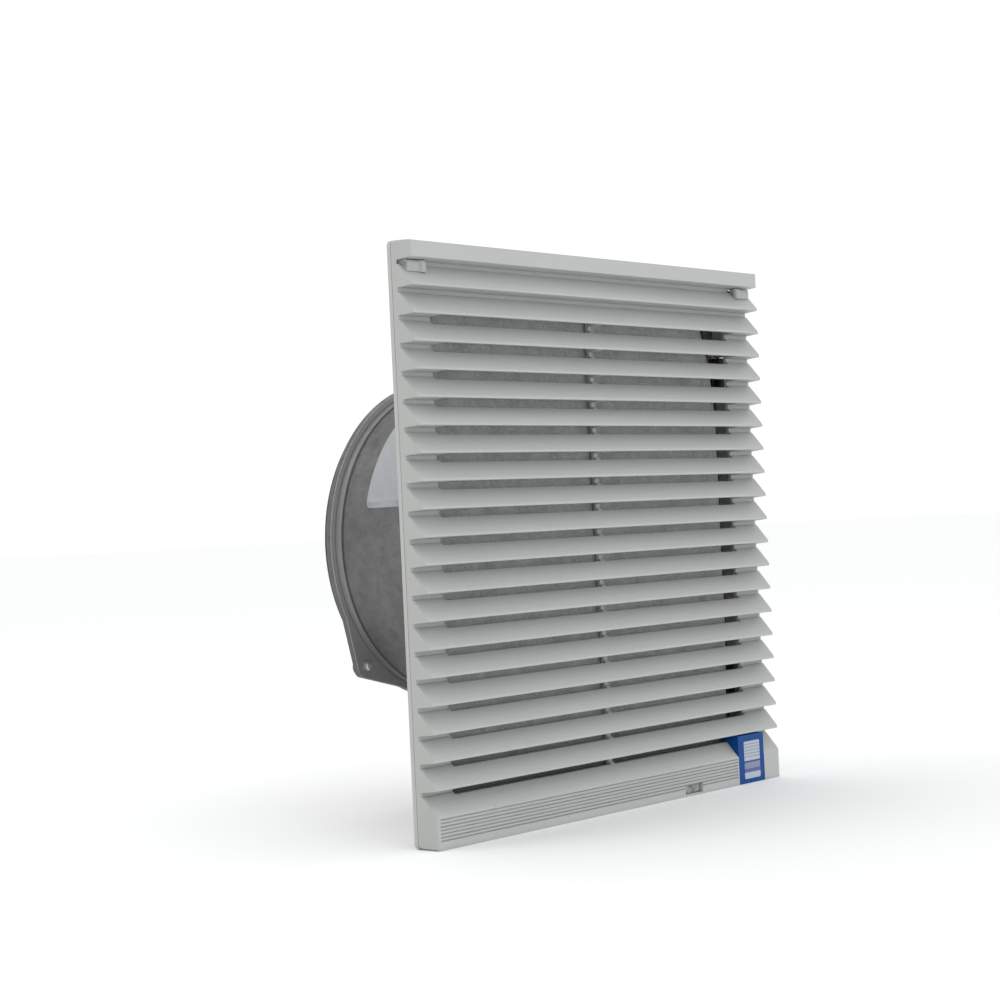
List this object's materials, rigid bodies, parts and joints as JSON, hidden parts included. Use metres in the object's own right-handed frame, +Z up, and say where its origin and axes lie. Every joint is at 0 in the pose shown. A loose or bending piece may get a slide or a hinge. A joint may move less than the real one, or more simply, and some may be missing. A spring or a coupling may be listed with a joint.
{
  "type": "cabinet filter fan",
  "caption": "Square cabinet filter fan: louvred hinged front cover over a filter mat, panel frame with spring clips, funnel hood and a guarded axial fan behind.",
  "frame": {"origin": "centre of the panel plane, on the rear face of the mounting flange", "axes": "+X to the right seen from the front, +Y into the cabinet along the fan axis, +Z up"},
  "size_m": [0.32, 0.1431, 0.32],
  "materials": {
    "cover_plastic": "satin",
    "frame_plastic": "satin",
    "black_plastic": "matte",
    "gland_plastic": "matte",
    "blue_plastic": "gloss",
    "white_panel": "satin",
    "dark_plate": "satin",
    "filter_fleece": "matte",
    "gasket_foam": "matte",
    "cast_alloy": "satin",
    "label_film": "satin",
    "zinc_steel": "satin",
    "spring_steel": "polished",
    "guard_wire": "satin",
    "rotor_paint": "satin",
    "core_steel": "satin",
    "copper_wire": "gloss",
    "bearing_steel": "polished",
    "cable_sheath": "matte",
    "terminal_body": "satin",
    "terminal_metal": "satin"
  },
  "bodies": {
    "frame": {"mounting_frame": "frame_plastic", "hinge_pins": "zinc_steel", "clip_pins": "zinc_steel", "panel_gasket": "gasket_foam", "filter_mat": "filter_fleece", "filter_support_grid": "black_plastic", "air_hood": "frame_plastic", "hood_screws": "zinc_steel", "fan_housing": "cast_alloy", "fan_screws": "zinc_steel", "fan_nuts": "zinc_steel", "rear_guard": "guard_wire", "guard_screws": "zinc_steel", "guard_nuts": "zinc_steel", "rating_label": "label_film", "stator_flange": "cast_alloy", "stator_core": "core_steel", "stator_windings": "copper_wire", "front_bearing": "bearing_steel", "rear_bearing": "bearing_steel", "motor_screws": "zinc_steel", "motor_lead": "cable_sheath", "lead_grommet": "cable_sheath", "terminal_box": "black_plastic", "terminal_cover": "black_plastic", "cover_screws": "zinc_steel", "terminal_strip": "terminal_body", "terminal_screws": "terminal_metal", "cable_gland": "gland_plastic"},
    "cover": {"louvre_grille": "cover_plastic", "colour_insert": "blue_plastic", "insert_panel": "white_panel", "dark_plate": "dark_plate", "latch_spring_left": "spring_steel", "latch_spring_right": "spring_steel"},
    "left_latch": {"latch_left": "cover_plastic"},
    "right_latch": {"latch_right": "cover_plastic"},
    "clip_tl": {"clip_top_left": "black_plastic"},
    "clip_tr": {"clip_top_right": "black_plastic"},
    "clip_bl": {"clip_bottom_left": "black_plastic"},
    "clip_br": {"clip_bottom_right": "black_plastic"},
    "rotor": {"rotor_can": "rotor_paint", "rotor_cage": "core_steel", "fan_blades": "rotor_paint", "motor_shaft": "bearing_steel", "retaining_ring": "spring_steel"}
  },
  "joints": [
    {"name": "cover_hinge", "type": "hinge", "parent": "frame", "child": "cover", "pos_m": [0, -0.0056, -0.1571], "axis": [1, 0, 0], "range_deg": [0, 78]},
    {"name": "left_latch_slide", "type": "slide", "parent": "cover", "child": "left_latch", "axis": [1, 0, 0], "range_m": [0, 0.0035], "stiffness_N_per_m": 600, "deforming": ["latch_spring_left"]},
    {"name": "right_latch_slide", "type": "slide", "parent": "cover", "child": "right_latch", "axis": [-1, 0, 0], "range_m": [0, 0.0035], "stiffness_N_per_m": 600, "deforming": ["latch_spring_right"]},
    {"name": "rotor_spin", "type": "hinge", "parent": "frame", "child": "rotor", "pos_m": [0, 0.085, 0], "axis": [0, 1, 0], "continuous": true},
    {"name": "clip_tl_swing", "type": "hinge", "parent": "frame", "child": "clip_tl", "pos_m": [-0.142, 0.0092, 0.095], "axis": [0, 0, 1], "range_deg": [0, 27], "stiffness_Nm_per_rad": 0.6},
    {"name": "clip_tr_swing", "type": "hinge", "parent": "frame", "child": "clip_tr", "pos_m": [0.142, 0.0092, 0.095], "axis": [0, 0, -1], "range_deg": [0, 27], "stiffness_Nm_per_rad": 0.6},
    {"name": "clip_bl_swing", "type": "hinge", "parent": "frame", "child": "clip_bl", "pos_m": [-0.142, 0.0092, -0.095], "axis": [0, 0, 1], "range_deg": [0, 27], "stiffness_Nm_per_rad": 0.6},
    {"name": "clip_br_swing", "type": "hinge", "parent": "frame", "child": "clip_br", "pos_m": [0.142, 0.0092, -0.095], "axis": [0, 0, -1], "range_deg": [0, 27], "stiffness_Nm_per_rad": 0.6}
  ]
}
